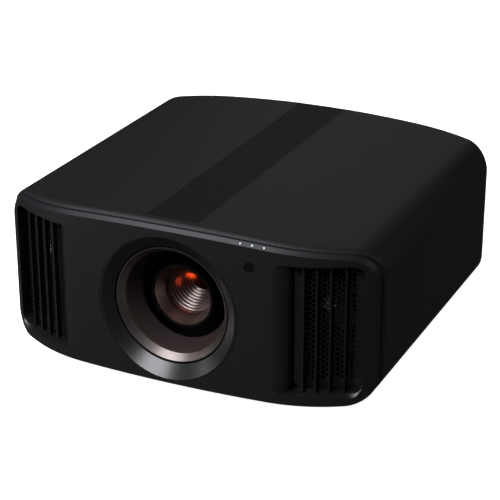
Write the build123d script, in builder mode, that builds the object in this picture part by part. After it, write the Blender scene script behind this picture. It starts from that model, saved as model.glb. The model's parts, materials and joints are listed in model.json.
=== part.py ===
"""Home cinema projector: casing, motorised zoom lens with lens shift, lamp, fans, controls, feet.

Millimetres. +Z is up, the lens looks along -Y, and the origin is at the centre of the rectangle
that the object covers, on the surface that it stands on.
"""

from build123d import *

import math
import os

os.makedirs("parts", exist_ok=True)

# ---- driving dimensions ----------------------------------------------------------------
WIDTH = 500.0
HEIGHT = 234.0
DEPTH = 495.0
HALF = WIDTH / 2
FRONT_Y = -DEPTH / 2
BACK_Y = DEPTH / 2
CASING_BACK_Y = 230.5  # rear rim of the casing, on the centre line
BELLY_Z = 28.0  # underside of the casing
SEAM_Z = 58.0  # joint between the top cover and the lower case
SEAM_GAP = 0.5
SHOULDER_DROP = 15.0  # how far the crowned top has fallen at the side walls
TOP_CORNER_R = 38.0
BELLY_CORNER_R = 36.0
WALL = 3.0

# Each end of the casing is a bow in plan: a long flat arc that turns into tighter ends.
BOW_REACH = 256.0  # the bows run a little past the side walls
FRONT_BOW = {"y": FRONT_Y, "way": 1, "knee": 125.0, "main": 1500.0, "end": 200.0}
REAR_BOW = {"y": CASING_BACK_Y, "way": -1, "knee": 140.0, "main": 3600.0, "end": 300.0}

FASCIA_DEPTH = 7.0
FASCIA_INSET = 3.8  # the fascia is this much narrower and lower than the cover behind it
FASCIA_FLOOR_Z = 25.0
FASCIA_WALL = 4.0
FASCIA_BEVEL = 4.2
FASCIA_GAP = 1.5  # shadow gap between the fascia and the cover
COVER_ROUND_R = 12.0  # the cover's front edge rolls over towards the fascia
COVER_ROUND_START = 5.0
COVER_LIP_DEPTH = 22.0
COVER_LIP = 7.0
TRIM_WIDTH = 8.6
TRIM_FLOOR_Z = 199.0  # the trim ends here on both corners

LENS_Z = 125.0
RECESS_R = 92.0  # front recess, bezel ring and inner shroud, from the outside in
THROAT_R = 76.0
THROAT_DEPTH = 12.0
BEZEL_OUTER_R = 73.9
BEZEL_FRONT = 13.0
BEZEL_LIP = 0.8
BEZEL_R = 66.5
BEZEL_DEPTH = 22.0
BEZEL_BACK = 24.0
SHROUD_R = 57.5
SHROUD_DEPTH = 50.5

VENT_X = (152.0, 232.5)
VENT_Z = (41.0, 206.0)
VENT_CORNER = 13.0
SCOOP_X = 133.5  # where the front starts to roll over towards the vent
SCOOP_DEPTH = 17.0
SCOOP_CREASE = 4.0  # degrees by which the roll starts off the face, which keeps its edge clean
FLARE_R = 17.0  # flared lower outer corner of each vent
FLARE_RISE = 0.75
POCKET_WALL = 4.0
POCKET_DEPTH = 24.0
FIN_X = (166.8, 181.3, 196.0, 211.7)
FIN_T = 2.2
FIN_INSET = 9.0
FIN_DEPTH = 19.0
LINER_DEPTH = 16.0
MESH_T = 1.0
MESH_ROWS = 21
MESH_HOLE_R = 2.7
MESH_PITCH = 6.6

BAND_HALF = 34.0
BAND_FRONT = 20.0  # depth behind the front at which the band starts
BAND_RECESS = 1.6
BAND_SINK = 0.2

RECEIVER_R = 6.5
RECEIVER_FRONT = (107.0, 198.0)
LIGHT_X = (95.0, 109.5, 124.0)
LIGHT_R = 1.0

# Rear housing that stands out of the casing and carries covers, sockets and keys.
REAR_X = 215.0
REAR_Z = (48.0, 190.0)
REAR_FACE_Y = 246.0
REAR_WALL = 3.0
REAR_RADIUS = 9.0
FILTER_X = (106.0, 204.0)
FILTER_Z = (64.0, 174.0)
LAMP_X = (-94.0, -4.0)
LAMP_Z = (116.0, 180.0)
COVER_T = 3.0
COVER_GAP = 0.4
KEY_CENTRE = (52.0, 148.0)
KEY_STEP = 15.0
KEY_CORNER = 24.0
KEY_R = 4.0
KEY_PROUD = BACK_Y - REAR_FACE_Y
RECEIVER_REAR = (4.0, 104.0)
SOCKET_Z = 76.0
INLET_X = -76.0
HDMI_X = (-30.0, -8.0)
LAN_X = 16.0
USB_X = 36.0
SERIAL_X = 64.0
TRIGGER_X = 90.0
CABLE_HOLE = 0.3  # clearance round each socket in the panel

# Lens and shift mechanism.
BARREL_FRONT_Y = FRONT_Y + 42.0
BARREL_RIM_R = 42.0
BARREL_R = 36.0
BARREL_BORE_R = 38.6
BARREL_MID_BORE_R = 27.0
BARREL_REAR_R = 26.0
BARREL_REAR_BORE_R = 22.0
STEP_Y = -172.0
FLANGE_Y = (-56.0, -50.0)
FLANGE_R = 46.0
BARREL_BACK_Y = -2.0
RUN_GAP = 0.3
FOCUS_Y = (-171.0, -152.0)
ZOOM_Y = (-124.0, -103.0)
MODULE = 1.0
RING_TEETH = 86
PINION_TEETH = 12
GEAR_GAP = 0.15
MOTOR_R = 9.0
ROD_R = 4.0
SLEEVE_R = 8.0
SHIFT_ROD_X = 78.0
SHIFT_ROD_Y = -26.0
CROSS_ROD_Y = -46.0
CROSS_ROD_Z = 56.0  # above and below the lens axis

FAN_SIZE = 80.0
FAN_DEPTH = 25.0
FAN_BORE_R = 38.0
FAN_ROTOR_R = 36.5
FAN_HUB_R = 16.0
FAN_BLADES = 7
EXHAUST_X = 194.0
EXHAUST_Y = -168.0
INTAKE_X = 155.0
INTAKE_Y = 170.0
FAN_Z = 119.0

FOOT_X = 165.0
FOOT_FRONT_Y = -130.0
FOOT_REAR_Y = 150.0
PAD_R = 20.0
PAD_T = 8.0
STEM_R = 4.0
KNOB_R = 13.0
KNOB_Z = (11.0, 22.0)
STEM_TOP = 46.0
BOSS_R = 9.0
BOSS_TOP = 50.0
MOUNT_SPACING = (260.0, 210.0)
MOUNT_HOLE_R = 2.5
MOUNT_HOLE_DEPTH = 12.0
FLOOR_SCREWS = (200.0, 380.0)  # spacing along X and Y
PANEL_SCREWS = (310.0, 126.0)  # spacing along X and Z
PANEL_SCREW_Z = 118.5
SCREW_HEAD_R = 3.2
SCREW_HEAD_T = 2.0
SCREW_R = 1.6
SCREW_LENGTH = 9.0


# ---- shared outlines -------------------------------------------------------------------
def bow_rise(bow, angle):
    """How far the tight end of a bow has turned back at an angle of its arc."""
    turn = math.asin(bow["knee"] / bow["main"])
    rise = bow["main"] * (1 - math.cos(turn))
    return rise + bow["end"] * (math.cos(turn) - math.cos(angle))


def bow_y(bow, x):
    """Y of a bow at a given X."""
    x = abs(x)
    if x <= bow["knee"]:
        return bow["y"] + bow["way"] * (bow["main"] - math.sqrt(bow["main"] ** 2 - x**2))
    centre_x = bow["knee"] * (1 - bow["end"] / bow["main"])
    return bow["y"] + bow["way"] * bow_rise(bow, math.asin((x - centre_x) / bow["end"]))


def bow_line(bow, shift):
    """Draws a whole bow, moved by shift along Y, and returns its right end."""
    middle_x = (bow["knee"] + BOW_REACH) / 2
    knee, middle, end = [(x, bow_y(bow, x) + shift) for x in (bow["knee"], middle_x, BOW_REACH)]
    ThreePointArc((-knee[0], knee[1]), (0, bow["y"] + shift), knee)
    ThreePointArc(knee, middle, end)
    ThreePointArc((-knee[0], knee[1]), (-middle[0], middle[1]), (-end[0], end[1]))
    return end


def casing_block(near, far, inset=0.0, floor=None):
    """The casing's rounded section, shrunk by inset, between two bows given as (bow, shift)."""
    half, top = HALF - inset, HEIGHT - inset
    if floor is None:
        floor = BELLY_Z + inset
    shoulder = top - SHOULDER_DROP
    with BuildPart() as block:
        with BuildSketch(Plane.XY):
            with BuildLine():
                near_end = bow_line(*near)
                far_end = bow_line(*far)
                Line(near_end, far_end)
                Line((-near_end[0], near_end[1]), (-far_end[0], far_end[1]))
            make_face()
        extrude(amount=HEIGHT + 20)
        with BuildSketch(Plane.XZ) as section:
            with BuildLine():
                ThreePointArc((-half, shoulder), (0, top), (half, shoulder))
                Polyline((half, shoulder), (half, floor), (-half, floor), (-half, shoulder))
            make_face()
            corners = section.vertices().group_by(Axis.Y)
            fillet(corners[-1], radius=TOP_CORNER_R - inset)
            fillet(section.vertices().group_by(Axis.Y)[0], radius=BELLY_CORNER_R - inset)
        extrude(amount=DEPTH, both=True, mode=Mode.INTERSECT)
    return block.part


LENS_AXIS = Axis((0, 0, LENS_Z), (0, 1, 0))


def top_z(x):
    """Height of the crowned top at a given X."""
    radius = (HALF**2 + SHOULDER_DROP**2) / (2 * SHOULDER_DROP)
    return HEIGHT - radius + math.sqrt(radius**2 - x**2)


def box_between(x, y, z, mode=Mode.ADD):
    """A box given by its limits along each axis."""
    with Locations(((x[0] + x[1]) / 2, (y[0] + y[1]) / 2, (z[0] + z[1]) / 2)):
        Box(x[1] - x[0], y[1] - y[0], z[1] - z[0], mode=mode)


def rod_y(radius, y, x=0.0, z=LENS_Z, mode=Mode.ADD):
    """A round bar or hole along Y."""
    with BuildSketch(Plane(origin=(x, y[0], z), x_dir=(1, 0, 0), z_dir=(0, 1, 0))) as profile:
        Circle(radius)
    extrude(profile.sketch, amount=y[1] - y[0], mode=mode)


def rod_z(radius, z, x, y, mode=Mode.ADD):
    """A round bar or hole along Z."""
    with BuildSketch(Plane(origin=(x, y, z[0]))) as profile:
        Circle(radius)
    extrude(profile.sketch, amount=z[1] - z[0], mode=mode)


def turned(points):
    """Revolves (radius, depth behind the front) points about the lens axis."""
    with BuildSketch(Plane.XY.offset(LENS_Z)) as profile:
        with BuildLine():
            Polyline(*[(radius, FRONT_Y + depth) for radius, depth in points], close=True)
        make_face()
    revolve(profile.sketch, axis=LENS_AXIS)


def rounded_slot(x, z, y, radius, mode=Mode.ADD):
    """A rounded rectangle in XZ, given by its limits, that runs along Y."""
    centre = ((x[0] + x[1]) / 2, y[0], (z[0] + z[1]) / 2)
    with BuildSketch(Plane(origin=centre, x_dir=(1, 0, 0), z_dir=(0, 1, 0))) as profile:
        RectangleRounded(x[1] - x[0], z[1] - z[0], radius)
    extrude(profile.sketch, amount=y[1] - y[0], mode=mode)


def grown(limits, amount):
    return (limits[0] - amount, limits[1] + amount)


def flipped(limits, side):
    """Limits along X for the right (1) or left (-1) side."""
    return tuple(sorted((side * limits[0], side * limits[1])))


SIDES = {"right": 1, "left": -1}

# ---- front fascia and its trim ---------------------------------------------------------
inner_inset = FASCIA_INSET + FASCIA_WALL
fascia_space = casing_block(
    (FRONT_BOW, FASCIA_WALL),
    (FRONT_BOW, FASCIA_DEPTH + 20),
    inset=inner_inset,
    floor=FASCIA_FLOOR_Z + FASCIA_WALL,
)
trim_core = casing_block((FRONT_BOW, -5), (FRONT_BOW, FASCIA_DEPTH + 5), inset=TRIM_WIDTH)
pocket_space = casing_block((FRONT_BOW, 1), (FRONT_BOW, POCKET_DEPTH), inset=inner_inset)


def front_rim(part, shift=0.0):
    """The edges round a bowed front face, without the two knee lines that cross it."""
    rim = []
    for edge in part.edges():
        points = [edge.position_at(t) for t in (0, 0.5, 1)]
        in_face = all(abs(p.Y - shift - bow_y(FRONT_BOW, p.X)) < 0.02 for p in points)
        on_knee = abs(abs(points[1].X) - FRONT_BOW["knee"]) < 0.01
        if in_face and not on_knee:
            rim.append(edge)
    return rim


def face_turn(x):
    """Angle, in radians, by which the tight end of the front bow has turned back at X."""
    centre_x = FRONT_BOW["knee"] * (1 - FRONT_BOW["end"] / FRONT_BOW["main"])
    return math.asin((abs(x) - centre_x) / FRONT_BOW["end"])


def scoop_wall(side):
    """The lens side of a vent: the front face rolls over and runs back to the fins."""
    turn = face_turn(SCOOP_X) + math.radians(SCOOP_CREASE)
    start = (side * SCOOP_X, bow_y(FRONT_BOW, SCOOP_X))
    end = (side * VENT_X[0], start[1] + SCOOP_DEPTH)
    behind_y, beside_x = end[1] + 60, side * (SCOOP_X - 10)
    with BuildSketch(Plane.XY) as profile:
        with BuildLine():
            TangentArc(start, end, tangent=(side * math.cos(turn), math.sin(turn)))
            Polyline(end, (end[0], behind_y), (beside_x, behind_y), (beside_x, start[1]), start)
        make_face()
    extrude(profile.sketch, amount=HEIGHT, mode=Mode.SUBTRACT)


def flare(side):
    """A conical flare that opens a vent's lower outer corner towards the front."""
    x, z = VENT_X[1] - VENT_CORNER, VENT_Z[0] + VENT_CORNER
    turn = face_turn(x)
    outwards = (side * math.sin(turn), -math.cos(turn), 0)
    behind, ahead = 7.0, 3.0
    origin = (side * x, bow_y(FRONT_BOW, x), z)
    with Locations(Plane(origin=origin, z_dir=outwards).offset((ahead - behind) / 2)):
        Cone(FLARE_R - FLARE_RISE * behind, FLARE_R + FLARE_RISE * ahead, behind + ahead)


with BuildPart() as vent_space:
    for side in SIDES.values():
        slot_x = flipped((SCOOP_X, VENT_X[1]), side)
        rounded_slot(slot_x, VENT_Z, (FRONT_Y - 5, -140), VENT_CORNER)
    for side in SIDES.values():
        scoop_wall(side)
    for side in SIDES.values():
        flare(side)

with BuildPart() as pockets:
    for side in SIDES.values():
        outer = (SCOOP_X - 2, VENT_X[1] + POCKET_WALL)
        box_between(flipped(outer, side), (FRONT_Y, -140), grown(VENT_Z, POCKET_WALL))
    add(pocket_space, mode=Mode.INTERSECT)

with BuildPart() as shell:
    add(casing_block((FRONT_BOW, 0), (FRONT_BOW, FASCIA_DEPTH), FASCIA_INSET, FASCIA_FLOOR_Z))
    chamfer(front_rim(shell), length=FASCIA_BEVEL)
    add(fascia_space, mode=Mode.SUBTRACT)

with BuildPart() as trim_zone:
    box_between((-HALF, HALF), (FRONT_Y - 2, -150), (TRIM_FLOOR_Z, HEIGHT + 2))
    add(trim_core, mode=Mode.SUBTRACT)

with BuildPart() as front_fascia:
    add(shell.part)
    add(pockets.part)
    add(trim_zone.part, mode=Mode.SUBTRACT)
    rod_y(RECESS_R + 0.4, (FRONT_Y - 5, FRONT_Y + 60), mode=Mode.SUBTRACT)
    rod_y(
        RECEIVER_R + 0.1, (FRONT_Y, -200), RECEIVER_FRONT[0], RECEIVER_FRONT[1], Mode.SUBTRACT
    )
    add(vent_space.part, mode=Mode.SUBTRACT)
front_fascia.part.label = "front_fascia"
export_step(front_fascia.part, "parts/front_fascia.step")

LIGHT_AXIS = (0, -1, 1)
light_points = [
    (x, bow_y(FRONT_BOW, x) + FASCIA_BEVEL / 2, top_z(x) - FASCIA_INSET - FASCIA_BEVEL / 2)
    for x in LIGHT_X
]

with BuildPart() as fascia_trim:
    add(shell.part)
    add(trim_zone.part, mode=Mode.INTERSECT)
    for point in light_points:
        with BuildSketch(Plane(origin=point, z_dir=LIGHT_AXIS)):
            Circle(LIGHT_R + 0.1)
        extrude(amount=3, both=True, mode=Mode.SUBTRACT)
fascia_trim.part.label = "fascia_trim"
export_step(fascia_trim.part, "parts/fascia_trim.step")

with BuildPart() as status_lights:
    for point in light_points:
        with BuildSketch(Plane(origin=point, z_dir=LIGHT_AXIS)):
            Circle(LIGHT_R)
        extrude(amount=-2.6)
status_lights.part.label = "status_lights"
export_step(status_lights.part, "parts/status_lights.step")

with BuildPart() as receiver_windows:
    face_y = bow_y(FRONT_BOW, RECEIVER_FRONT[0]) + 0.6
    rod_y(RECEIVER_R, (face_y, face_y + 6), *RECEIVER_FRONT)
    rod_y(RECEIVER_R + 2, (face_y + 4.4, face_y + 6), *RECEIVER_FRONT)
    rod_y(RECEIVER_R, (REAR_FACE_Y - 5, REAR_FACE_Y - 0.5), *RECEIVER_REAR)
    rod_y(RECEIVER_R + 2, (REAR_FACE_Y - 5, REAR_FACE_Y - 3), *RECEIVER_REAR)
receiver_windows.part.label = "receiver_windows"
export_step(receiver_windows.part, "parts/receiver_windows.step")

# ---- lens recess, bezel and shroud -----------------------------------------------------
with BuildPart() as lens_recess:
    flange_r = RECESS_R + 0.8
    turned(
        [
            (RECESS_R, 0),
            (RECESS_R, 8.5),
            (flange_r, 8.5),
            (flange_r, 11),
            (RECESS_R, 11),
            (THROAT_R + 4, BEZEL_BACK),
            (THROAT_R, BEZEL_BACK),
            (THROAT_R, THROAT_DEPTH),
        ]
    )
    add(casing_block((FRONT_BOW, 0.05), (FRONT_BOW, 40)), mode=Mode.INTERSECT)
    # A flat under the ring clears the lip of the lower case.
    lip_z = (LENS_Z - RECESS_R - 2, BELLY_Z + COVER_LIP + 0.3)
    box_between((-40, 40), (FRONT_Y + FASCIA_DEPTH + 1, -200), lip_z, Mode.SUBTRACT)
lens_recess.part.label = "lens_recess"
export_step(lens_recess.part, "parts/lens_recess.step")

with BuildPart() as bezel_ring:
    turned(
        [
            (BEZEL_OUTER_R, BEZEL_FRONT),
            (BEZEL_OUTER_R, BEZEL_BACK),
            (BEZEL_R, BEZEL_BACK),
            (BEZEL_R, BEZEL_DEPTH),
            (BEZEL_OUTER_R - BEZEL_LIP, BEZEL_FRONT),
        ]
    )
bezel_ring.part.label = "bezel_ring"
export_step(bezel_ring.part, "parts/bezel_ring.step")

with BuildPart() as lens_shroud:
    turned(
        [
            (BEZEL_R - 1, BEZEL_BACK + 0.1),
            (THROAT_R + 5, BEZEL_BACK + 0.1),
            (THROAT_R + 5, BEZEL_BACK + 2.5),
            (BEZEL_R + 1, BEZEL_BACK + 2.5),
            (SHROUD_R + 3, SHROUD_DEPTH),
            (SHROUD_R, SHROUD_DEPTH),
            (SHROUD_R, SHROUD_DEPTH - 2),
        ]
    )
lens_shroud.part.label = "lens_shroud"
export_step(lens_shroud.part, "parts/lens_shroud.step")

# ---- front vents: fins and perforated screens ------------------------------------------
fin_space = casing_block((FRONT_BOW, FIN_INSET), (FRONT_BOW, FIN_DEPTH), inset=FASCIA_WALL)
liner_space = casing_block((FRONT_BOW, LINER_DEPTH), (FRONT_BOW, FIN_DEPTH), FASCIA_WALL)

for name, side in SIDES.items():
    liner_x = flipped(grown(VENT_X, -0.2), side)
    with BuildPart() as liner:
        rounded_slot(liner_x, grown(VENT_Z, -0.2), (FRONT_Y, -140), VENT_CORNER)
        inner_x = flipped((SCOOP_X, VENT_X[1] - 2.2), side)
        inner_z = grown(VENT_Z, -2.2)
        rounded_slot(inner_x, inner_z, (FRONT_Y, -140), VENT_CORNER - 2, Mode.SUBTRACT)
        add(vent_space.part, mode=Mode.INTERSECT)
        add(liner_space, mode=Mode.INTERSECT)
    with BuildPart() as fins:
        for x in FIN_X:
            limits = flipped((x - FIN_T / 2, x + FIN_T / 2), side)
            box_between(limits, (FRONT_Y, -140), grown(VENT_Z, -1))
        add(fin_space, mode=Mode.INTERSECT)
    with BuildPart() as vent_fins:
        add(liner.part)
        add(fins.part)
    vent_fins.part.label = f"vent_fins_{name}"
    export_step(vent_fins.part, f"parts/vent_fins_{name}.step")

with BuildPart() as vent_screens:
    near_x, far_x = grown(VENT_X, -1.2)
    near_y = bow_y(FRONT_BOW, near_x) + FIN_DEPTH + 0.3
    far_y = bow_y(FRONT_BOW, far_x) + FIN_DEPTH + 0.3
    length = math.hypot(far_x - near_x, far_y - near_y)
    for side in SIDES.values():
        middle = (side * (near_x + far_x) / 2, (near_y + far_y) / 2, sum(VENT_Z) / 2)
        along = (side * (far_x - near_x), far_y - near_y, 0)
        normal = (side * (near_y - far_y), far_x - near_x, 0)
        with BuildSketch(Plane(origin=middle, x_dir=along, z_dir=normal)):
            RectangleRounded(length, VENT_Z[1] - VENT_Z[0] - 2, VENT_CORNER - 1)
            with HexLocations(MESH_PITCH / 2, 10, MESH_ROWS, major_radius=False):
                Circle(MESH_HOLE_R, mode=Mode.SUBTRACT)
        extrude(amount=MESH_T)
vent_screens.part.label = "vent_screens"
export_step(vent_screens.part, "parts/vent_screens.step")

# ---- top cover and its band ------------------------------------------------------------
cover_front = (FRONT_BOW, FASCIA_DEPTH + FASCIA_GAP)
band_front = (FRONT_BOW, BAND_FRONT)
band_floor = casing_block((FRONT_BOW, 0), (REAR_BOW, 20), inset=BAND_RECESS)
band_top = casing_block(band_front, (REAR_BOW, 0), inset=BAND_SINK)

with BuildPart() as casing_inner:
    add(casing_block((FRONT_BOW, COVER_LIP_DEPTH), (REAR_BOW, 20), inset=WALL))
    add(casing_block((FRONT_BOW, 0), (FRONT_BOW, COVER_LIP_DEPTH + 1), inset=COVER_LIP))

with BuildPart() as casing_outer:
    add(casing_block((FRONT_BOW, COVER_ROUND_START), (REAR_BOW, 0)))
    fillet(front_rim(casing_outer, COVER_ROUND_START), radius=COVER_ROUND_R)
    add(casing_block(cover_front, (REAR_BOW, 5)), mode=Mode.INTERSECT)

with BuildPart() as band_zone:
    box_between((-BAND_HALF, BAND_HALF), (FRONT_Y, BACK_Y), (HEIGHT - 20, HEIGHT + 2))
    add(casing_block(band_front, (REAR_BOW, 5)), mode=Mode.INTERSECT)
    add(band_floor, mode=Mode.SUBTRACT)

with BuildPart() as top_cover:
    add(casing_outer.part)
    add(casing_inner.part, mode=Mode.SUBTRACT)
    box_between((-HALF, HALF), (FRONT_Y, BACK_Y), (0, SEAM_Z), Mode.SUBTRACT)
    add(band_zone.part, mode=Mode.SUBTRACT)
top_cover.part.label = "top_cover"
export_step(top_cover.part, "parts/top_cover.step")

with BuildPart() as top_band:
    gap = BAND_HALF - 0.25
    box_between((-gap, gap), (FRONT_Y, BACK_Y), (HEIGHT - 20, HEIGHT + 2))
    add(band_top, mode=Mode.INTERSECT)
    add(band_floor, mode=Mode.SUBTRACT)
top_band.part.label = "top_band"
export_step(top_band.part, "parts/top_band.step")

# ---- lower case ------------------------------------------------------------------------
FLOOR_Z = BELLY_Z + WALL


def around(centre, size):
    return (centre - size / 2, centre + size / 2)


with BuildPart() as lower_case:
    add(casing_outer.part)
    add(casing_inner.part, mode=Mode.SUBTRACT)
    box_between((-HALF, HALF), (FRONT_Y, BACK_Y), (SEAM_Z - SEAM_GAP, HEIGHT), Mode.SUBTRACT)
    for x in (-FOOT_X, FOOT_X):
        rod_z(BOSS_R, (BELLY_Z, BOSS_TOP), x, FOOT_FRONT_Y)
        rod_z(STEM_R + RUN_GAP, (0, BOSS_TOP), x, FOOT_FRONT_Y, Mode.SUBTRACT)
    with GridLocations(*MOUNT_SPACING, 2, 2):
        with Locations((0, 0, BELLY_Z + 8)):
            Cylinder(7, 16)
    with GridLocations(*MOUNT_SPACING, 2, 2):
        with Locations((0, 0, BELLY_Z + MOUNT_HOLE_DEPTH / 2)):
            Cylinder(MOUNT_HOLE_R, MOUNT_HOLE_DEPTH, mode=Mode.SUBTRACT)
    for x in around(0, FLOOR_SCREWS[0]):
        for y in around(0, FLOOR_SCREWS[1]):
            rod_z(SCREW_HEAD_R + 0.2, (BELLY_Z - 1, BELLY_Z + SCREW_HEAD_T), x, y, Mode.SUBTRACT)
            rod_z(SCREW_R + 0.1, (BELLY_Z, FLOOR_Z + 1), x, y, Mode.SUBTRACT)
lower_case.part.label = "lower_case"
export_step(lower_case.part, "parts/lower_case.step")

# ---- rear panel ------------------------------------------------------------------------
KEYS = {
    "key_up": (0, KEY_STEP),
    "key_down": (0, -KEY_STEP),
    "key_left": (-KEY_STEP, 0),
    "key_right": (KEY_STEP, 0),
    "key_enter": (0, 0),
    "key_power": (-KEY_CORNER, KEY_CORNER),
    "key_source": (KEY_CORNER, KEY_CORNER),
    "key_menu": (-KEY_CORNER, -KEY_CORNER),
    "key_back": (KEY_CORNER, -KEY_CORNER),
}
INLET_SIZE = (28.0, 21.0)
HDMI_SIZE = (16.0, 7.4)
LAN_SIZE = (16.0, 13.5)
USB_SIZE = (15.0, 8.0)
SERIAL_SIZE = (31.0, 12.5)
TRIGGER_R = 3.4
SOCKETS = [(INLET_X, INLET_SIZE), (LAN_X, LAN_SIZE), (USB_X, USB_SIZE), (SERIAL_X, SERIAL_SIZE)]
SOCKETS += [(x, HDMI_SIZE) for x in HDMI_X]
PANEL_BACK_Y = REAR_FACE_Y - REAR_WALL

with BuildPart() as rear_skirt:
    add(casing_block((REAR_BOW, -8), (REAR_BOW, -5), inset=WALL + 0.3))
    box_between((-REAR_X, REAR_X), (150, BACK_Y), REAR_Z, Mode.SUBTRACT)

with BuildPart() as rear_panel:
    rounded_slot((-REAR_X, REAR_X), REAR_Z, (198, REAR_FACE_Y), REAR_RADIUS)
    fillet(rear_panel.faces().sort_by(Axis.Y)[-1].edges(), radius=4)
    inner_x = (-REAR_X + REAR_WALL, REAR_X - REAR_WALL)
    inner_z = grown(REAR_Z, -REAR_WALL)
    rounded_slot(inner_x, inner_z, (190, PANEL_BACK_Y), REAR_RADIUS - REAR_WALL, Mode.SUBTRACT)
    add(rear_skirt.part)
    for side in SIDES.values():
        box_between(flipped(FILTER_X, side), (200, BACK_Y), FILTER_Z, Mode.SUBTRACT)
    box_between(LAMP_X, (200, BACK_Y), LAMP_Z, Mode.SUBTRACT)
    for x, z in KEYS.values():
        centre = (KEY_CENTRE[0] + x, KEY_CENTRE[1] + z)
        rod_y(KEY_R + RUN_GAP, (230, BACK_Y + 2), *centre, Mode.SUBTRACT)
    for x, size in SOCKETS:
        hole_x = around(x, size[0] + CABLE_HOLE * 2)
        hole_z = around(SOCKET_Z, size[1] + CABLE_HOLE * 2)
        box_between(hole_x, (230, BACK_Y), hole_z, Mode.SUBTRACT)
    rod_y(TRIGGER_R + CABLE_HOLE, (230, BACK_Y), TRIGGER_X, SOCKET_Z, Mode.SUBTRACT)
    rod_y(RECEIVER_R + 0.1, (230, BACK_Y), *RECEIVER_REAR, Mode.SUBTRACT)
    for x in around(0, PANEL_SCREWS[0]):
        for z in around(PANEL_SCREW_Z, PANEL_SCREWS[1]):
            head_y = (REAR_FACE_Y - SCREW_HEAD_T, BACK_Y)
            rod_y(SCREW_HEAD_R + 0.2, head_y, x, z, Mode.SUBTRACT)
            rod_y(SCREW_R + 0.1, (230, REAR_FACE_Y), x, z, Mode.SUBTRACT)
rear_panel.part.label = "rear_panel"
export_step(rear_panel.part, "parts/rear_panel.step")

# ---- removable covers and filters ------------------------------------------------------
LOUVRE_COUNT = 12
LOUVRE_H = 4.0

for name, side in SIDES.items():
    plate_x = flipped(grown(FILTER_X, -COVER_GAP), side)
    plate_z = grown(FILTER_Z, -COVER_GAP)
    pitch = (FILTER_Z[1] - FILTER_Z[0] - 14) / LOUVRE_COUNT
    with BuildPart() as filter_cover:
        box_between(plate_x, (REAR_FACE_Y - COVER_T, REAR_FACE_Y), plate_z)
        for index in range(LOUVRE_COUNT):
            slot_z = around(FILTER_Z[0] + 7 + pitch * (index + 0.5), LOUVRE_H)
            slot_x = flipped(grown(FILTER_X, -8), side)
            box_between(slot_x, (REAR_FACE_Y - 10, REAR_FACE_Y), slot_z, Mode.SUBTRACT)
    filter_cover.part.label = f"filter_cover_{name}"
    export_step(filter_cover.part, f"parts/filter_cover_{name}.step")
    with BuildPart() as air_filter:
        pad_y = (REAR_FACE_Y - COVER_T - 11, REAR_FACE_Y - COVER_T)
        box_between(flipped(grown(FILTER_X, -3), side), pad_y, grown(FILTER_Z, -3))
    air_filter.part.label = f"air_filter_{name}"
    export_step(air_filter.part, f"parts/air_filter_{name}.step")

with BuildPart() as lamp_cover:
    cover_y = (REAR_FACE_Y - COVER_T, REAR_FACE_Y)
    box_between(grown(LAMP_X, -COVER_GAP), cover_y, grown(LAMP_Z, -COVER_GAP))
    grip = (sum(LAMP_X) / 2, sum(LAMP_Z) / 2)
    for offset in (-6, 0, 6):
        rib_z = around(grip[1] + offset, 2)
        box_between(around(grip[0] + 20, 24), (REAR_FACE_Y - 1, REAR_FACE_Y), rib_z, Mode.SUBTRACT)
lamp_cover.part.label = "lamp_cover"
export_step(lamp_cover.part, "parts/lamp_cover.step")

# ---- keys ------------------------------------------------------------------------------
for name, (x, z) in KEYS.items():
    centre = (KEY_CENTRE[0] + x, KEY_CENTRE[1] + z)
    with BuildPart() as key:
        rod_y(KEY_R, (PANEL_BACK_Y - 3, BACK_Y), *centre)
        chamfer(key.faces().sort_by(Axis.Y)[-1].edges(), length=0.5)
        rod_y(KEY_R + 1.6, (PANEL_BACK_Y - 2.4, PANEL_BACK_Y - 0.4), *centre)
    key.part.label = name
    export_step(key.part, f"parts/{name}.step")

# ---- main board and its sockets --------------------------------------------------------
BOARD_T = 1.6
BOARD_TOP = SOCKET_Z - LAN_SIZE[1] / 2 - 0.4
SOCKET_FACE_Y = REAR_FACE_Y - 0.6

with BuildPart() as main_board:
    box_between((-44, 104), (126, 228), (BOARD_TOP - BOARD_T, BOARD_TOP))
    for x, y in ((-20, 150), (30, 165), (70, 150)):
        box_between(around(x, 24), around(y, 24), (BOARD_TOP, BOARD_TOP + 6))
    for x in (-38, 88):
        for y in (132, 190):
            rod_z(3, (FLOOR_Z, BOARD_TOP - BOARD_T), x, y)
main_board.part.label = "main_board"
export_step(main_board.part, "parts/main_board.step")


def socket(x, size, cavity, depth, tongue=None):
    """A shell on the board with a cavity in its face, and sometimes a tongue deep inside."""
    back_y = SOCKET_FACE_Y - 20
    foot_z = BOARD_TOP
    box_between(around(x, size[0]), (back_y, SOCKET_FACE_Y), around(SOCKET_Z, size[1]))
    if SOCKET_Z - size[1] / 2 > foot_z:
        box_between(around(x, size[0] - 2), (back_y, 228), (foot_z, SOCKET_Z))
    mouth = (SOCKET_FACE_Y - depth, SOCKET_FACE_Y)
    box_between(around(x, cavity[0]), mouth, around(SOCKET_Z, cavity[1]), Mode.SUBTRACT)
    if tongue:
        tongue_y = (mouth[0], SOCKET_FACE_Y - 4.8)
        box_between(around(x, tongue[0]), tongue_y, around(SOCKET_Z + tongue[2], tongue[1]))


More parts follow.
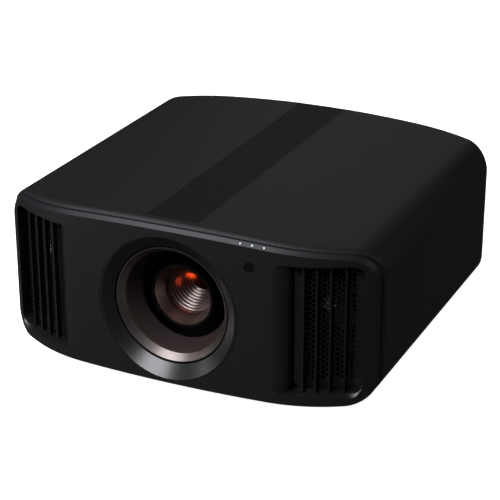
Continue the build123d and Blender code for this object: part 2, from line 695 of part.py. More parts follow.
with BuildPart() as signal_sockets:
    for x in HDMI_X:
        socket(x, HDMI_SIZE, (14.2, 5.0), 12, (11, 1, -0.2))
    socket(LAN_X, LAN_SIZE, (12.2, 8.6), 13)
    socket(USB_X, USB_SIZE, (13.2, 6.0), 12, (11, 1.8, 1.2))
    socket(SERIAL_X, SERIAL_SIZE, (17.2, 9.0), 6, (16, 7.4, 0))
    jack_y = (SOCKET_FACE_Y - 20, SOCKET_FACE_Y)
    rod_y(TRIGGER_R, jack_y, TRIGGER_X, SOCKET_Z)
    box_between(around(TRIGGER_X, 6.4), (jack_y[0], 228), (BOARD_TOP, SOCKET_Z))
    rod_y(1.8, (SOCKET_FACE_Y - 13, SOCKET_FACE_Y), TRIGGER_X, SOCKET_Z, Mode.SUBTRACT)
signal_sockets.part.label = "signal_sockets"
export_step(signal_sockets.part, "parts/signal_sockets.step")

with BuildPart() as power_inlet:
    inlet_z = around(SOCKET_Z, INLET_SIZE[1])
    inlet_y = (SOCKET_FACE_Y - 24, SOCKET_FACE_Y)
    box_between(around(INLET_X, INLET_SIZE[0]), inlet_y, inlet_z)
    mouth_y = (SOCKET_FACE_Y - 17, SOCKET_FACE_Y)
    box_between(around(INLET_X, 24.4), mouth_y, around(SOCKET_Z, 16.8), Mode.SUBTRACT)
    for x, z in ((-7, -2), (0, 2), (7, -2)):
        blade_y = (SOCKET_FACE_Y - 17, SOCKET_FACE_Y - 5)
        box_between(around(INLET_X + x, 2), blade_y, around(SOCKET_Z + z, 4))
power_inlet.part.label = "power_inlet"
export_step(power_inlet.part, "parts/power_inlet.step")

# ---- power supply ----------------------------------------------------------------------
with BuildPart() as power_supply:
    board_z = (FLOOR_Z + 8, FLOOR_Z + 10)
    box_between((-228, -138), (-96, 110), board_z)
    for x in (-206, -146):
        for y in (-88, 102):
            rod_z(3.5, (FLOOR_Z, board_z[0]), x, y)
    box_between((-224, -190), (-60, 0), (board_z[1], 90))
    box_between((-180, -150), (-80, -10), (board_z[1], 76))
    for x, y in ((-210, 30), (-210, 66), (-168, 30), (-168, 66)):
        rod_z(13, (board_z[1], 84), x, y)
power_supply.part.label = "power_supply"
export_step(power_supply.part, "parts/power_supply.step")

# ---- lamp and light engine -------------------------------------------------------------
LAMP_CENTRE = (sum(LAMP_X) / 2, sum(LAMP_Z) / 2)

with BuildPart() as lamp_unit:
    lamp_x, lamp_z = grown(LAMP_X, -6), grown(LAMP_Z, -6)
    box_between(lamp_x, (150, 226), lamp_z)
    rod_y(24, (140, 200), *LAMP_CENTRE, Mode.SUBTRACT)
    box_between(around(LAMP_CENTRE[0], 30), (226, 236), around(LAMP_CENTRE[1], 6))
    rod_y(5, (150, 202), *LAMP_CENTRE)
lamp_unit.part.label = "lamp_unit"
export_step(lamp_unit.part, "parts/lamp_unit.step")

with BuildPart() as light_engine:
    box_between((-96, 62), (50, 148), (90, 182))
    fillet(light_engine.edges().filter_by(Axis.Z), radius=8)
    box_between((-92, 58), (54, 144), (94, 172), Mode.SUBTRACT)
    for x in range(-84, 60, 12):
        box_between(around(x, 6), (60, 140), (176, 182), Mode.SUBTRACT)
    rod_y(22, (120, 150), *LAMP_CENTRE, Mode.SUBTRACT)
    for x in (-84, 50):
        for y in (62, 118):
            rod_z(6, (FLOOR_Z, 91), x, y)
light_engine.part.label = "light_engine"
export_step(light_engine.part, "parts/light_engine.step")

with BuildPart() as prism_block:
    box_between((-18, 18), (6, 42), around(LENS_Z, 36))
    for x in (-22, 22):
        box_between(around(x, 5), (10, 38), around(LENS_Z, 30))
    box_between((-14, 14), (42, 50), around(LENS_Z, 30))
prism_block.part.label = "prism_block"
export_step(prism_block.part, "parts/prism_block.step")

# ---- lens shift ------------------------------------------------------------------------
SHIFT_PLATE_Y = (-12.0, -5.0)
BRACKET_Z = ((44.0, 53.0), (197.0, 206.0))

with BuildPart() as shift_frame:
    box_between((-92, 92), SHIFT_PLATE_Y, (FLOOR_Z, 206))
    box_between((-92, 92), (-36, -5), (FLOOR_Z, FLOOR_Z + 5))
    rod_y(42, (-20, 0), mode=Mode.SUBTRACT)
    for x in (-SHIFT_ROD_X, SHIFT_ROD_X):
        for bracket in BRACKET_Z:
            box_between(around(x, 18), (-35, SHIFT_PLATE_Y[0]), bracket)
        rod_z(ROD_R + 0.02, (BRACKET_Z[0][0], BRACKET_Z[1][1]), x, SHIFT_ROD_Y, Mode.SUBTRACT)
shift_frame.part.label = "shift_frame"
export_step(shift_frame.part, "parts/shift_frame.step")

with BuildPart() as shift_rods:
    for x in (-SHIFT_ROD_X, SHIFT_ROD_X):
        rod_z(ROD_R, (BRACKET_Z[0][0], BRACKET_Z[1][1]), x, SHIFT_ROD_Y)
shift_rods.part.label = "shift_rods"
export_step(shift_rods.part, "parts/shift_rods.step")


def rod_x(radius, x, y, z, mode=Mode.ADD):
    """A round bar or hole along X."""
    with BuildSketch(Plane(origin=(x[0], y, z), x_dir=(0, 1, 0), z_dir=(1, 0, 0))) as profile:
        Circle(radius)
    extrude(profile.sketch, amount=x[1] - x[0], mode=mode)


with BuildPart() as vertical_carriage:
    box_between((-74, 74), (-30, -22), (63, 187))
    for x in (-SHIFT_ROD_X, SHIFT_ROD_X):
        rod_z(SLEEVE_R, (80, 170), x, SHIFT_ROD_Y)
        rod_z(ROD_R + RUN_GAP, (70, 180), x, SHIFT_ROD_Y, Mode.SUBTRACT)
    for x in (-69, 69):
        for z in (LENS_Z - CROSS_ROD_Z, LENS_Z + CROSS_ROD_Z):
            box_between(around(x, 8), (-52, -22), around(z, 12))
            rod_x(ROD_R, around(x, 10), CROSS_ROD_Y, z, Mode.SUBTRACT)
    rod_y(36, (-40, -10), mode=Mode.SUBTRACT)
vertical_carriage.part.label = "vertical_carriage"
export_step(vertical_carriage.part, "parts/vertical_carriage.step")

with BuildPart() as cross_rods:
    for z in (LENS_Z - CROSS_ROD_Z, LENS_Z + CROSS_ROD_Z):
        rod_x(ROD_R - 0.02, (-73, 73), CROSS_ROD_Y, z)
cross_rods.part.label = "cross_rods"
export_step(cross_rods.part, "parts/cross_rods.step")

with BuildPart() as horizontal_carriage:
    box_between((-52, 52), (-50, -42), (LENS_Z - CROSS_ROD_Z, LENS_Z + CROSS_ROD_Z))
    for z in (LENS_Z - CROSS_ROD_Z, LENS_Z + CROSS_ROD_Z):
        rod_x(SLEEVE_R, (-52, 52), CROSS_ROD_Y, z)
        rod_x(ROD_R + RUN_GAP, (-60, 60), CROSS_ROD_Y, z, Mode.SUBTRACT)
    rod_y(BARREL_REAR_R + 0.1, (-60, -30), mode=Mode.SUBTRACT)
horizontal_carriage.part.label = "horizontal_carriage"
export_step(horizontal_carriage.part, "parts/horizontal_carriage.step")

# ---- lens ------------------------------------------------------------------------------
RING_PITCH_R = RING_TEETH * MODULE / 2
PINION_PITCH_R = PINION_TEETH * MODULE / 2
PINION_X = RING_PITCH_R + PINION_PITCH_R + GEAR_GAP
MOTOR_Y = (FOCUS_Y[1] + 3, ZOOM_Y[0] - 3)


def depth_of(y):
    return y - FRONT_Y


def toothed(teeth, y, x=0.0, turn=0.0):
    """A spur gear along Y with slightly thin teeth, so that a pair runs with backlash."""
    pitch_r = teeth * MODULE / 2
    root_r, tip_r = pitch_r - 1.2 * MODULE, pitch_r + 0.9 * MODULE
    with BuildSketch(Plane(origin=(x, y[0], LENS_Z), x_dir=(1, 0, 0), z_dir=(0, 1, 0))) as profile:
        Circle(root_r)
        with PolarLocations(0, teeth, start_angle=turn):
            root, tip = 0.85 * MODULE, 0.3 * MODULE
            start_r = root_r - 0.3
            Polygon((start_r, root), (tip_r, tip), (tip_r, -tip), (start_r, -root), align=None)
    extrude(profile.sketch, amount=y[1] - y[0])


with BuildPart() as lens_barrel:
    turned(
        [
            (BARREL_RIM_R, depth_of(BARREL_FRONT_Y)),
            (BARREL_RIM_R, depth_of(STEP_Y)),
            (BARREL_R, depth_of(STEP_Y)),
            (BARREL_R, depth_of(FLANGE_Y[0])),
            (FLANGE_R, depth_of(FLANGE_Y[0])),
            (FLANGE_R, depth_of(FLANGE_Y[1])),
            (BARREL_REAR_R, depth_of(FLANGE_Y[1])),
            (BARREL_REAR_R, depth_of(BARREL_BACK_Y)),
            (BARREL_REAR_BORE_R, depth_of(BARREL_BACK_Y)),
            (BARREL_REAR_BORE_R, depth_of(-60)),
            (BARREL_MID_BORE_R, depth_of(-60)),
            (BARREL_MID_BORE_R, depth_of(-158)),
            (BARREL_R - 2, depth_of(-158)),
            (BARREL_R - 2, depth_of(STEP_Y) - 4),
            (BARREL_BORE_R, depth_of(STEP_Y) - 8),
            (BARREL_BORE_R, depth_of(BARREL_FRONT_Y)),
        ]
    )
    for side in SIDES.values():
        saddle_y = (MOTOR_Y[0] + 3, MOTOR_Y[1] - 3)
        box_between(flipped((BARREL_R - 2, PINION_X - 4), side), saddle_y, around(LENS_Z, 12))
        rod_y(MOTOR_R + 0.05, MOTOR_Y, side * PINION_X, mode=Mode.SUBTRACT)
lens_barrel.part.label = "lens_barrel"
export_step(lens_barrel.part, "parts/lens_barrel.step")

for name, ring_y in (("focus_ring", FOCUS_Y), ("zoom_ring", ZOOM_Y)):
    with BuildPart() as ring:
        toothed(RING_TEETH, ring_y)
        rod_y(BARREL_R + RUN_GAP, grown(ring_y, 1), mode=Mode.SUBTRACT)
    ring.part.label = name
    export_step(ring.part, f"parts/{name}.step")

half_tooth = 180 / PINION_TEETH
for name, ring_y, side in (("focus_pinion", FOCUS_Y, 1), ("zoom_pinion", ZOOM_Y, -1)):
    with BuildPart() as pinion:
        toothed(PINION_TEETH, grown(ring_y, -1), side * PINION_X, half_tooth)
    pinion.part.label = name
    export_step(pinion.part, f"parts/{name}.step")

with BuildPart() as lens_motors:
    for side in SIDES.values():
        rod_y(MOTOR_R, MOTOR_Y, side * PINION_X)
lens_motors.part.label = "lens_motors"
export_step(lens_motors.part, "parts/lens_motors.step")

CELL_Y = (-203.5, -182.0)
GLASS_R = 31.8
GLASS_Y = (-188.0, -182.5)
GLASS_BULGE = 13.2
BAFFLE_STEPS = 8
BAFFLE_RUN = 4.0  # length of each step along the axis
BAFFLE_LAND = 2.6  # straight part of each step, in front of its bevel
BAFFLE_FALL = 2.1  # how much narrower each step is than the one in front
BAFFLE_R = 30.6
BAFFLE_WALL = 1.2

with BuildPart() as front_cell:
    cell_r = BARREL_BORE_R - RUN_GAP
    seat = [depth_of(y) for y in GLASS_Y]
    profile = [(cell_r, depth_of(CELL_Y[0])), (cell_r - 0.6, depth_of(CELL_Y[0]))]
    lip = (GLASS_R - 0.3, seat[0] - 0.3)
    profile += [(lip[0], lip[1] - 1.2), lip, (GLASS_R, lip[1]), (GLASS_R, seat[1])]
    for index in range(BAFFLE_STEPS):
        step_r, step_depth = BAFFLE_R - BAFFLE_FALL * index, seat[1] + BAFFLE_RUN * index
        profile += [(step_r, step_depth), (step_r, step_depth + BAFFLE_LAND)]
    end_depth = step_depth + BAFFLE_RUN
    profile += [(step_r - BAFFLE_FALL, end_depth), (step_r + BAFFLE_WALL, end_depth)]
    profile += [(BAFFLE_R + 2, seat[1] + 2), (BAFFLE_R + 3, depth_of(CELL_Y[1]))]
    profile.append((cell_r, depth_of(CELL_Y[1])))
    turned(profile)
front_cell.part.label = "front_cell"
export_step(front_cell.part, "parts/front_cell.step")


def lens_element(radius, y, bulge):
    """A lens with a domed front and a flat back."""
    with BuildSketch(Plane.XY.offset(LENS_Z)) as profile:
        with BuildLine():
            dome_r = (radius**2 + bulge**2) / (2 * bulge)
            half_x = radius / 2
            half_y = y[0] - bulge + dome_r - math.sqrt(dome_r**2 - half_x**2)
            ThreePointArc((0, y[0] - bulge), (half_x, half_y), (radius, y[0]))
            Polyline((radius, y[0]), (radius, y[1]), (0, y[1]), (0, y[0] - bulge))
        make_face()
    revolve(profile.sketch, axis=LENS_AXIS)


with BuildPart() as front_glass:
    lens_element(GLASS_R - 0.02, GLASS_Y, GLASS_BULGE)
front_glass.part.label = "front_glass"
export_step(front_glass.part, "parts/front_glass.step")

with BuildPart() as zoom_group:
    lens_element(BARREL_MID_BORE_R - RUN_GAP, (-122, -108), 5)
zoom_group.part.label = "zoom_group"
export_step(zoom_group.part, "parts/zoom_group.step")

# ---- fans ------------------------------------------------------------------------------
FANS = {
    "exhaust_fan_right": (EXHAUST_X, EXHAUST_Y),
    "exhaust_fan_left": (-EXHAUST_X, EXHAUST_Y),
    "intake_fan_right": (INTAKE_X, INTAKE_Y),
    "intake_fan_left": (-INTAKE_X, INTAKE_Y),
}

with BuildPart() as fan_frames:
    for x, y in FANS.values():
        fan_x, fan_z = around(x, FAN_SIZE), around(FAN_Z, FAN_SIZE)
        box_between(fan_x, (y, y + FAN_DEPTH), fan_z)
        rod_y(FAN_BORE_R, (y - 1, y + FAN_DEPTH + 1), x, FAN_Z, Mode.SUBTRACT)
        box_between(around(x, FAN_SIZE - 2), (y + FAN_DEPTH - 3, y + FAN_DEPTH), around(FAN_Z, 4))
        box_between(around(x, 4), (y + FAN_DEPTH - 3, y + FAN_DEPTH), around(FAN_Z, FAN_SIZE - 2))
        rod_y(FAN_HUB_R, (y + FAN_DEPTH - 3, y + FAN_DEPTH), x, FAN_Z)
        for leg in (-1, 1):
            leg_x = around(x + leg * 16, 8)
            box_between(leg_x, (y + 4, y + FAN_DEPTH - 4), (FLOOR_Z, fan_z[0]))
fan_frames.part.label = "fan_frames"
export_step(fan_frames.part, "parts/fan_frames.step")

for name, (x, y) in FANS.items():
    with BuildPart() as rotor:
        rod_y(FAN_HUB_R, (y + 2, y + FAN_DEPTH - 4), x, FAN_Z)
        hub_plane = Plane(origin=(x, y + FAN_DEPTH / 2, FAN_Z), x_dir=(1, 0, 0), z_dir=(0, 1, 0))
        blade_length = FAN_ROTOR_R - FAN_HUB_R + 1.5
        with Locations(hub_plane):
            with PolarLocations(FAN_HUB_R - 1.5 + blade_length / 2, FAN_BLADES):
                Box(blade_length, 20, 1.6, rotation=(38, 0, 0))
    rotor.part.label = name
    export_step(rotor.part, f"parts/{name}.step")

# ---- feet ------------------------------------------------------------------------------
for name, side in SIDES.items():
    x = side * FOOT_X
    with BuildPart() as foot_pad:
        rod_z(PAD_R, (0, PAD_T), x, FOOT_FRONT_Y)
        fillet(foot_pad.edges(), radius=1.5)
    foot_pad.part.label = f"foot_pad_{name}"
    export_step(foot_pad.part, f"parts/foot_pad_{name}.step")
    with BuildPart() as foot_screw:
        rod_z(STEM_R, (PAD_T + RUN_GAP, STEM_TOP), x, FOOT_FRONT_Y)
        rod_z(KNOB_R, KNOB_Z, x, FOOT_FRONT_Y)
    foot_screw.part.label = f"foot_screw_{name}"
    export_step(foot_screw.part, f"parts/foot_screw_{name}.step")

with BuildPart() as rear_feet:
    for x in (-FOOT_X, FOOT_X):
        rod_z(PAD_R, (0, BELLY_Z), x, FOOT_REAR_Y)
    fillet(rear_feet.faces().group_by(Axis.Z)[0].edges(), radius=1.5)
rear_feet.part.label = "rear_feet"
export_step(rear_feet.part, "parts/rear_feet.step")

# ---- screws ----------------------------------------------------------------------------
with BuildPart() as case_screws:
    for x in around(0, FLOOR_SCREWS[0]):
        for y in around(0, FLOOR_SCREWS[1]):
            rod_z(SCREW_HEAD_R, (BELLY_Z + 0.2, BELLY_Z + SCREW_HEAD_T), x, y)
            rod_z(SCREW_R, (BELLY_Z, BELLY_Z + SCREW_LENGTH), x, y)
    for x in around(0, PANEL_SCREWS[0]):
        for z in around(PANEL_SCREW_Z, PANEL_SCREWS[1]):
            rod_y(SCREW_HEAD_R, (REAR_FACE_Y - SCREW_HEAD_T, REAR_FACE_Y - 0.2), x, z)
            rod_y(SCREW_R, (REAR_FACE_Y - SCREW_LENGTH, REAR_FACE_Y - SCREW_HEAD_T), x, z)
case_screws.part.label = "case_screws"
export_step(case_screws.part, "parts/case_screws.step")
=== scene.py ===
"""Looks for the home cinema projector: finishes for its CAD pieces, added detail, light and camera."""

import json
import math

import bmesh
import bpy
from mathutils import Matrix, Vector


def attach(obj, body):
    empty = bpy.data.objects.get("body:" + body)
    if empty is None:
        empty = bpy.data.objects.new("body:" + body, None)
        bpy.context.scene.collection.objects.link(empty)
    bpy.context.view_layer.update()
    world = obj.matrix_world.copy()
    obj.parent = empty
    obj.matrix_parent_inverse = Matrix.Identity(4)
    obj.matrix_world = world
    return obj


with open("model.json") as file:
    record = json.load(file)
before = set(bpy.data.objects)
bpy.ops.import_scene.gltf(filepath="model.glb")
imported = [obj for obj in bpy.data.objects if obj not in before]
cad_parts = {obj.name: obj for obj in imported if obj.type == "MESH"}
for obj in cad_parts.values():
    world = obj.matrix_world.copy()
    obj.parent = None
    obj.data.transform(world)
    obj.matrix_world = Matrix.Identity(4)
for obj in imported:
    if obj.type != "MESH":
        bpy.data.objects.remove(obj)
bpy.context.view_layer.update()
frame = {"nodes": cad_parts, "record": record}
MM = 0.001


# ---- colours and nodes -----------------------------------------------------------------
def srgb(text):
    """A hex colour such as "#1c1d1f" as linear red, green, blue and alpha."""
    parts = [int(text[i : i + 2], 16) / 255 for i in (1, 3, 5)]
    return [p / 12.92 if p <= 0.04045 else ((p + 0.055) / 1.055) ** 2.4 for p in parts] + [1.0]


def add(tree, kind, links=None, **settings):
    """Adds a shader node, with its settings by socket or property name, and its links."""
    node = tree.nodes.new("ShaderNode" + kind)
    for name, value in settings.items():
        socket = name.replace("_", " ")
        if hasattr(node, name):
            setattr(node, name, value)
        else:
            node.inputs[socket].default_value = value
    for name, source in (links or {}).items():
        tree.links.new(source, node.inputs[name])
    return node


def start(name, colour, roughness, **shader_settings):
    """A new material with its shader, and its Object coordinates."""
    made = bpy.data.materials.new(name)
    made.use_nodes = True
    tree = made.node_tree
    shader = tree.nodes["Principled BSDF"]
    shader.inputs["Base Color"].default_value = srgb(colour)
    shader.inputs["Roughness"].default_value = roughness
    for key, value in shader_settings.items():
        shader.inputs[key.replace("_", " ")].default_value = value
    place = add(tree, "TexCoord").outputs["Object"]
    return made, tree, shader, place


def per_mm(size):
    """Noise scale, per metre, for a grain of this many millimetres."""
    return 1 / (size * MM)


def vary(tree, shader, place, grain, low, high, depth=0.0, detail=3.0):
    """Lets roughness wander from low to high over a grain in mm, with a bump depth in mm."""
    noise = add(tree, "TexNoise", {"Vector": place}, Scale=per_mm(grain), Detail=detail)
    spread = add(tree, "MapRange", {"Value": noise.outputs["Fac"]}, To_Min=low, To_Max=high)
    tree.links.new(spread.outputs["Result"], shader.inputs["Roughness"])
    if depth:
        bump = add(tree, "Bump", {"Height": noise.outputs["Fac"]}, Distance=depth * MM)
        tree.links.new(bump.outputs["Normal"], shader.inputs["Normal"])
    return noise


def textured_paint(name, colour, roughness, grain=0.9, depth=0.06, gloss=0.35):
    """Powder-textured black paint: a fine even pebble that scatters highlights to a soft sheen."""
    made, tree, shader, place = start(name, colour, roughness, Specular_IOR_Level=gloss)
    noise = vary(tree, shader, place, grain, roughness - 0.06, roughness + 0.08, depth)
    tint = add(tree, "ValToRGB", {"Fac": noise.outputs["Fac"]})
    base = srgb(colour)
    tint.color_ramp.elements[0].color = [c * 0.8 for c in base[:3]] + [1]
    tint.color_ramp.elements[1].color = [c * 1.2 for c in base[:3]] + [1]
    tree.links.new(tint.outputs["Color"], shader.inputs["Base Color"])
    return made


def moulded_plastic(name, colour, roughness, grain=0.5, depth=0.02):
    """Moulded ABS: smooth skin with a very slight orange peel and uneven gloss."""
    made, tree, shader, place = start(name, colour, roughness, IOR=1.53)
    vary(tree, shader, place, grain, roughness - 0.05, roughness + 0.05, depth, 2.0)
    return made


def cast_metal(name, colour, roughness):
    """Die-cast aluminium alloy: grey, slightly mottled, with a fine sandy skin."""
    made, tree, shader, place = start(name, colour, roughness, Metallic=1.0)
    vary(tree, shader, place, 1.5, roughness - 0.08, roughness + 0.12, 0.05)
    return made


def turned_metal(name, colour, roughness, pitch=0.4, depth=0.01, axis_z=0.125):
    """Lathe-turned and anodised aluminium: fine rings about the lens axis catch the light."""
    made, tree, shader, place = start(name, colour, roughness, Metallic=1.0)
    centred = add(tree, "Mapping", {"Vector": place}, Location=(0, 0, -axis_z))
    waves = add(
        tree,
        "TexWave",
        {"Vector": centred.outputs["Vector"]},
        wave_type="RINGS",
        rings_direction="Y",
        Scale=per_mm(pitch) / 20,
        Distortion=0.3,
        Detail=1.0,
    )
    vary(tree, shader, place, 2.0, roughness - 0.04, roughness + 0.06)
    bump = add(tree, "Bump", {"Height": waves.outputs["Fac"]}, Distance=depth * MM)
    tree.links.new(bump.outputs["Normal"], shader.inputs["Normal"])
    return made


def ground_steel(name, colour, roughness):
    """Ground steel bar: bright, with faint streaks along its length."""
    made, tree, shader, place = start(name, colour, roughness, Metallic=1.0)
    stretched = add(tree, "Mapping", {"Vector": place}, Scale=(1, 1, 0.05))
    vary(tree, shader, stretched.outputs["Vector"], 0.4, roughness - 0.08, roughness + 0.1, 0.004)
    return made


def rubber(name, colour):
    """Moulded rubber: dull, slightly dusty, with a fine leathery skin."""
    made, tree, shader, place = start(name, colour, 0.85, Specular_IOR_Level=0.3)
    vary(tree, shader, place, 0.6, 0.75, 0.95, 0.04)
    return made


def foam(name, colour):
    """Open-cell filter foam: dark cells with lighter struts, matte all over."""
    made, tree, shader, place = start(name, colour, 0.95, Specular_IOR_Level=0.1)
    cells = add(tree, "TexVoronoi", {"Vector": place}, Scale=per_mm(1.6))
    tint = add(tree, "ValToRGB", {"Fac": cells.outputs["Distance"]})
    tint.color_ramp.elements[0].color = srgb("#0c0c0d")
    tint.color_ramp.elements[1].color = srgb(colour)
    bump = add(tree, "Bump", {"Height": cells.outputs["Distance"]}, Distance=0.6 * MM)
    tree.links.new(tint.outputs["Color"], shader.inputs["Base Color"])
    tree.links.new(bump.outputs["Normal"], shader.inputs["Normal"])
    return made


def solder_mask(name, colour):
    """Circuit board: glossy green lacquer over a faint pattern of copper tracks."""
    made, tree, shader, place = start(name, colour, 0.35)
    tracks = add(tree, "TexBrick", {"Vector": place}, Scale=per_mm(14), Mortar_Size=0.01)
    tracks.inputs["Color1"].default_value = srgb(colour)
    tracks.inputs["Color2"].default_value = srgb("#0f3a20")
    tracks.inputs["Mortar"].default_value = srgb("#3c6b45")
    tree.links.new(tracks.outputs["Color"], shader.inputs["Base Color"])
    return made


def coated_glass(name, colour, reflex, clear, roughness=0.04):
    """Optical glass with an anti-reflection film: see-through, with a coloured reflection."""
    made, _, shader, _ = start(name, colour, roughness, IOR=2.6, Alpha=1 - clear)
    shader.inputs["Specular Tint"].default_value = srgb(reflex)
    return made


def lamp_dot(name, colour, strength):
    """Small lit light pipe: milky, with a soft glow of its own."""
    made, _, shader, _ = start(name, colour, 0.3, Emission_Strength=strength)
    shader.inputs["Emission Color"].default_value = srgb(colour)
    return made


FINISHES = {
    "fascia_black": moulded_plastic("semi_gloss_black_abs", "#131314", 0.36),
    "trim_grey": textured_paint("satin_grey_trim_paint", "#18191b", 0.37, 0.5, 0.01),
    "indicator_white": lamp_dot("milky_light_pipe", "#c9d2dc", 0.35),
    "receiver_dark": moulded_plastic("dark_infrared_filter", "#080607", 0.12, 3.0, 0.0),
    "recess_black": textured_paint("satin_recess_paint", "#151517", 0.28, 0.5, 0.003),
    "bezel_bronze": turned_metal("bronze_anodised_aluminium", "#8f8682", 0.34),
    "shroud_black": textured_paint("satin_brown_shroud_paint", "#2c2322", 0.45, 0.6, 0.01),
    "vent_black": moulded_plastic("satin_black_vent_abs", "#08080a", 0.45),
    "screen_steel": textured_paint("black_painted_steel_mesh", "#161618", 0.45, 0.5, 0.02),
    "casing_black": textured_paint("black_powder_paint", "#111113", 0.5),
    "band_black": textured_paint("satin_black_band_abs", "#080809", 0.56, 0.6, 0.03, 0.22),
    "panel_black": textured_paint("grained_black_rear_abs", "#19191a", 0.6, 1.1, 0.08),
    "cover_black": textured_paint("grained_black_cover_abs", "#1c1c1d", 0.55, 1.1, 0.08),
    "filter_foam": foam("charcoal_filter_foam", "#4a4a4d"),
    "board_green": solder_mask("green_solder_mask", "#0b2b18"),
    "socket_metal": ground_steel("nickel_plated_shell", "#b9b9b6", 0.28),
    "inlet_black": moulded_plastic("black_inlet_nylon", "#161616", 0.5),
    "lamp_metal": cast_metal("lamp_housing_alloy", "#8e8e90", 0.5),
    "cast_metal": cast_metal("die_cast_alloy", "#77787a", 0.55),
    "prism_glass": coated_glass("optical_prism_glass", "#9fb0b6", "#ffffff", 0.5),
    "rod_steel": ground_steel("ground_steel_rod", "#b4b4b6", 0.2),
    "carriage_metal": cast_metal("carriage_alloy", "#6a6b6e", 0.5),
    "barrel_black": turned_metal("black_anodised_barrel", "#1d1d1f", 0.42),
    "gear_black": moulded_plastic("black_acetal", "#1a1a1a", 0.45),
    "pinion_brass": ground_steel("cut_brass", "#b08d4b", 0.3),
    "motor_steel": ground_steel("drawn_motor_can", "#8b8b8d", 0.3),
    "cell_bronze": turned_metal("brown_anodised_cell", "#857a76", 0.36),
    # The lens glass's faint reddish base colour is painted light: it stands in for the orange glow
    # that the coating's reflection throws inside the cell.
    "lens_glass": coated_glass("coated_lens_glass", "#040202", "#ff4a14", 0.74, 0.2),
    "fan_black": moulded_plastic("black_fan_frame_pbt", "#161616", 0.5),
    "rotor_black": moulded_plastic("black_fan_blade_pbt", "#1b1b1b", 0.4),
    "key_black": moulded_plastic("satin_key_abs", "#202022", 0.45),
    "foot_rubber": rubber("black_foot_rubber", "#151515"),
    "foot_steel": ground_steel("zinc_plated_steel", "#a3a5a6", 0.35),
    "screw_steel": ground_steel("black_oxide_steel", "#2a2a2b", 0.4),
}

for entry in frame["record"]["subparts"]:
    piece = frame["nodes"][entry["node"]]
    piece.data.materials.clear()
    piece.data.materials.append(FINISHES[entry["material_slot"]])


# ---- added detail, in millimetres ------------------------------------------------------
PRINT = 0.12  # thickness of a printed key symbol
KEY_FACE_Y = 247.5
KEY_X, KEY_Z = 52.0, 148.0  # centre of the key pad
KEY_STEP = 15.0  # from the middle key to the arrow keys
KEY_CORNER = 24.0  # from the middle key to the corner keys, along X and Z
WHEEL_X, WHEEL_Y, WHEEL_Z = 165.0, -130.0, 16.5
WHEEL_R = 13.0
KNURLS = 44
PANEL_SCREW_X, PANEL_SCREW_Z = 155, (55.5, 181.5)
PANEL_HEAD_Y = 245.82
FLOOR_SCREW_X, FLOOR_SCREW_Y = 100, 190
FLOOR_HEAD_Z = 28.18
SLOT = (3.8, 0.7)  # length and width of a screw's cross slot


def detail(name, mesh, finish, body):
    """Turns a bmesh in millimetres into a shown piece that rides on a body."""
    bmesh.ops.scale(mesh, vec=(MM, MM, MM), verts=mesh.verts)
    bmesh.ops.recalc_face_normals(mesh, faces=mesh.faces)
    data = bpy.data.meshes.new(name)
    mesh.to_mesh(data)
    mesh.free()
    data.materials.append(FINISHES[finish])
    piece = bpy.data.objects.new(name, data)
    bpy.context.scene.collection.objects.link(piece)
    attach(piece, body)


def bar(mesh, centre, size, turn=0.0, axis="Y"):
    """Adds a box of a size about a centre, turned by an angle in degrees about an axis."""
    place = Matrix.Translation(centre) @ Matrix.Rotation(math.radians(turn), 4, axis)
    bmesh.ops.create_cube(mesh, size=1.0, matrix=place @ Matrix.Diagonal((*size, 1.0)))


def plate(mesh, centre, sides, radius, turn=0.0):
    """Adds a thin plate with this many sides that faces the rear; its first corner points up."""
    place = Matrix.Translation(centre) @ Matrix.Rotation(math.radians(turn), 4, "Y")
    place = place @ Matrix.Rotation(math.radians(90), 4, "X")
    bmesh.ops.create_cone(
        mesh,
        cap_ends=True,
        segments=sides,
        radius1=radius,
        radius2=radius,
        depth=PRINT,
        matrix=place,
    )


# Generic symbols printed on the rear keys. They take the glowing light-pipe finish, so the print glows
# faintly: painted light, as the keys hold no lamp.
ARROWS = {
    "key_up": (0, KEY_STEP, 0),
    "key_right": (KEY_STEP, 0, 90),
    "key_down": (0, -KEY_STEP, 180),
    "key_left": (-KEY_STEP, 0, -90),
}

for key, (x, z, turn) in ARROWS.items():
    arrow = bmesh.new()
    plate(arrow, (KEY_X + x, KEY_FACE_Y, KEY_Z + z), 3, 1.7, turn)
    detail(f"{key}_symbol", arrow, "indicator_white", key)

enter = bmesh.new()
plate(enter, (KEY_X, KEY_FACE_Y, KEY_Z), 24, 1.0)
detail("key_enter_symbol", enter, "indicator_white", "key_enter")

power = bmesh.new()
for step in range(14):
    angle = math.radians(40 + step * 280 / 13)
    spot_x = KEY_X - KEY_CORNER + 1.7 * math.sin(angle)
    spot_z = KEY_Z + KEY_CORNER + 1.7 * math.cos(angle)
    bar(power, (spot_x, KEY_FACE_Y, spot_z), (0.85, PRINT, 0.4), math.degrees(angle))
bar(power, (KEY_X - KEY_CORNER, KEY_FACE_Y, KEY_Z + KEY_CORNER + 1.2), (0.4, PRINT, 2.0))
detail("key_power_symbol", power, "indicator_white", "key_power")

menu = bmesh.new()
for step in (-1.2, 0, 1.2):
    bar(menu, (KEY_X - KEY_CORNER, KEY_FACE_Y, KEY_Z - KEY_CORNER + step), (3.4, PRINT, 0.45))
detail("key_menu_symbol", menu, "indicator_white", "key_menu")

source = bmesh.new()
bar(source, (KEY_X + KEY_CORNER, KEY_FACE_Y, KEY_Z + KEY_CORNER - 1.2), (3.6, PRINT, 0.4))
plate(source, (KEY_X + KEY_CORNER, KEY_FACE_Y, KEY_Z + KEY_CORNER + 0.8), 3, 1.3, 180)
detail("key_source_symbol", source, "indicator_white", "key_source")

back = bmesh.new()
plate(back, (KEY_X + KEY_CORNER - 0.8, KEY_FACE_Y, KEY_Z - KEY_CORNER), 3, 1.4, -90)
bar(back, (KEY_X + KEY_CORNER + 1, KEY_FACE_Y, KEY_Z - KEY_CORNER), (2.2, PRINT, 0.45))
detail("key_back_symbol", back, "indicator_white", "key_back")

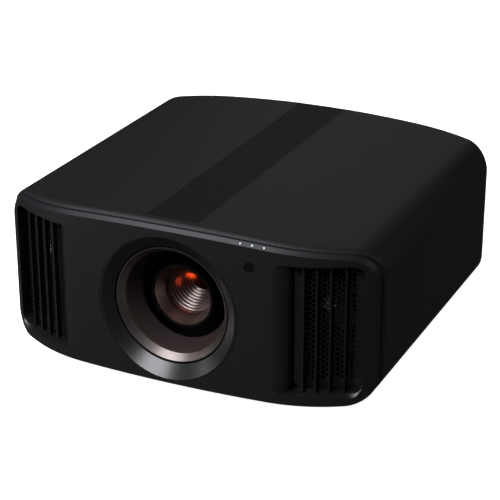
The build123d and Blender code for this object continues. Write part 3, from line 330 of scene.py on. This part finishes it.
# Knurled rims on the two levelling wheels.
for name, x in (("right", WHEEL_X), ("left", -WHEEL_X)):
    knurls = bmesh.new()
    for step in range(KNURLS):
        angle = 2 * math.pi * step / KNURLS
        spot = (x + WHEEL_R * math.cos(angle), WHEEL_Y + WHEEL_R * math.sin(angle), WHEEL_Z)
        bar(knurls, spot, (0.9, 0.9, 8.6), math.degrees(angle) + 45, "Z")
    detail(f"foot_knurls_{name}", knurls, "foot_steel", f"screw_{name}")

# Cross slots of the case screws, on the rear panel and under the floor: thin near-black plates laid
# flat on the heads, painted shade standing in for the shadow inside each recessed slot.
slot_shade = bmesh.new()
for x in (-PANEL_SCREW_X, PANEL_SCREW_X):
    for z in PANEL_SCREW_Z:
        for turn in (45, 135):
            bar(slot_shade, (x, PANEL_HEAD_Y, z), (SLOT[0], 0.1, SLOT[1]), turn)
for x in (-FLOOR_SCREW_X, FLOOR_SCREW_X):
    for y in (-FLOOR_SCREW_Y, FLOOR_SCREW_Y):
        for turn in (45, 135):
            bar(slot_shade, (x, y, FLOOR_HEAD_Z), (*SLOT, 0.1), turn, "Z")
detail("screw_slot_painted_shade", slot_shade, "vent_black", "casing")


# ---- floor, light and camera -----------------------------------------------------------
floor_mesh = bmesh.new()
bmesh.ops.create_grid(floor_mesh, x_segments=1, y_segments=1, size=6.0)
floor_data = bpy.data.meshes.new("floor")
floor_mesh.to_mesh(floor_data)
floor_mesh.free()
floor = bpy.data.objects.new("floor", floor_data)
paper, _, paper_shader, _ = start("white_studio_paper", "#ffffff", 0.9)
paper_shader.inputs["Emission Color"].default_value = srgb("#ffffff")
paper_shader.inputs["Emission Strength"].default_value = 0.96
floor.data.materials.append(paper)
floor.visible_diffuse = False  # the paper stays out of the dark casing's reflections
floor.visible_glossy = False
bpy.context.scene.collection.objects.link(floor)

world = bpy.context.scene.world or bpy.data.worlds.new("studio")
bpy.context.scene.world = world
world.use_nodes = True
background = world.node_tree.nodes["Background"]
world_tree = world.node_tree
facing = add(world_tree, "TexCoord").outputs["Generated"]
height = add(world_tree, "SeparateXYZ", {"Vector": facing})
glow = add(
    world_tree,
    "MapRange",
    {"Value": height.outputs["Z"]},
    From_Min=-0.25,
    From_Max=0.15,
    To_Min=0.055,
    To_Max=0.03,
)
world_tree.links.new(glow.outputs["Result"], background.inputs["Strength"])
background.inputs["Color"].default_value = srgb("#ffffff")


def softbox(name, place, aim, width, height, power, tint="#ffffff"):
    """A rectangular soft light that faces a point."""
    data = bpy.data.lights.new(name, "AREA")
    data.shape = "RECTANGLE"
    data.size = width
    data.size_y = height
    data.energy = power
    data.color = srgb(tint)[:3]
    light = bpy.data.objects.new(name, data)
    light.location = place
    light.rotation_euler = (Vector(aim) - Vector(place)).to_track_quat("-Z", "Y").to_euler()
    bpy.context.scene.collection.objects.link(light)


softbox("front_softbox", (-0.4, -2.25, 1.85), (0, -0.2, 0.12), 1.4, 0.62, 72, "#fafbff")
softbox("overhead_softbox", (-0.9, -0.7, 2.3), (0, -0.1, 0.1), 1.7, 1.4, 34, "#f7f9ff")
softbox("rear_softbox", (-0.7, 2.5, 1.5), (0, 0, 0.2), 1.4, 1.0, 1.8)
softbox("left_softbox", (-1.8, -1.6, 0.45), (0, -0.1, 0.12), 1.2, 0.8, 15)
softbox("right_softbox", (2.6, 0.9, 1.0), (0.2, 0, 0.1), 1.2, 1.2, 6)

CENTRE = Vector((0, -8.5 * MM, 120 * MM))
AZIMUTH = math.radians(24.97)
ELEVATION = math.radians(23.19)
DISTANCE = 2.1597
towards = Vector(
    (
        math.sin(AZIMUTH) * math.cos(ELEVATION),
        -math.cos(AZIMUTH) * math.cos(ELEVATION),
        math.sin(ELEVATION),
    )
)
camera_data = bpy.data.cameras.new("camera")
camera_data.lens = 119.1
camera_data.shift_x = -0.0022
camera_data.shift_y = -0.0168
camera = bpy.data.objects.new("camera", camera_data)
camera.location = CENTRE + towards * DISTANCE
camera.rotation_euler = (-towards).to_track_quat("-Z", "Y").to_euler()
bpy.context.scene.collection.objects.link(camera)
bpy.context.scene.camera = camera
bpy.context.scene.view_settings.view_transform = "Standard"
